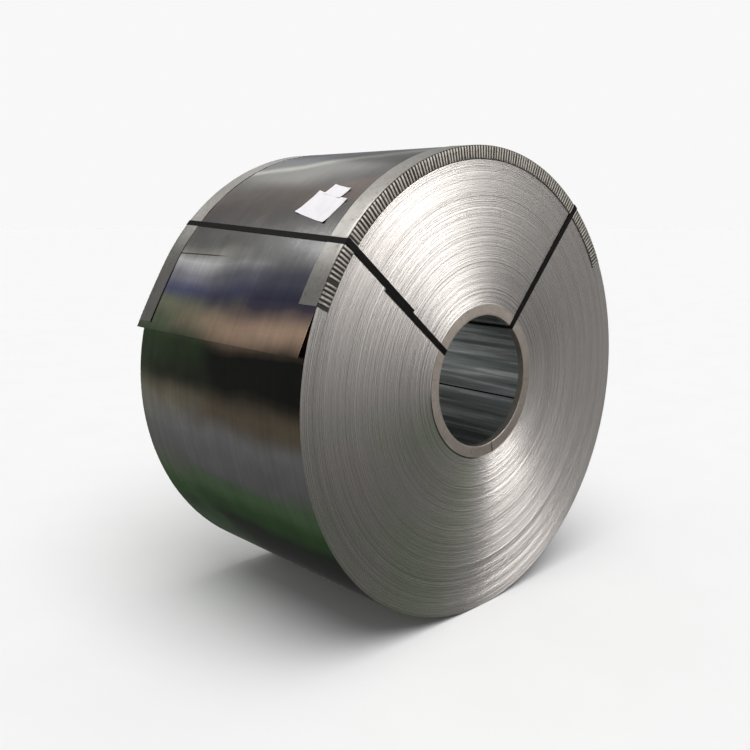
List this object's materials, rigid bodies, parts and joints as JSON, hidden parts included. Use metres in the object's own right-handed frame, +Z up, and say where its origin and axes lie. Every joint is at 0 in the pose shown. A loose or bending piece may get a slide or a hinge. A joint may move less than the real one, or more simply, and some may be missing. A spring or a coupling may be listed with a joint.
{
  "type": "steel coil",
  "caption": "Wound coil of steel strip on its side, with pleated edge guards, eye rings, steel straps and blank papers.",
  "frame": {"origin": "centre of the eye, at the middle of the coil's width", "axes": "+Y along the eye to the far end, +Z up, +X across the coil to the right when the near end is seen"},
  "size_m": [1.8091, 1.0234, 1.8009],
  "materials": {
    "strip_steel": "bright rolled steel, turns visible on the ends",
    "guard_steel": "dull galvanised sheet",
    "ring_steel": "dull galvanised sheet, warm grey",
    "strapping": "black waxed steel strapping",
    "paper": "plain blank paper"
  },
  "bodies": {
    "root": {"coil": "strip_steel", "near_edge_guard": "guard_steel", "far_edge_guard": "guard_steel", "near_eye_ring": "ring_steel", "far_eye_ring": "ring_steel", "strap_left": "strapping", "strap_right": "strapping", "paper_sheet": "paper", "paper_tag": "paper"}
  },
  "joints": []
}
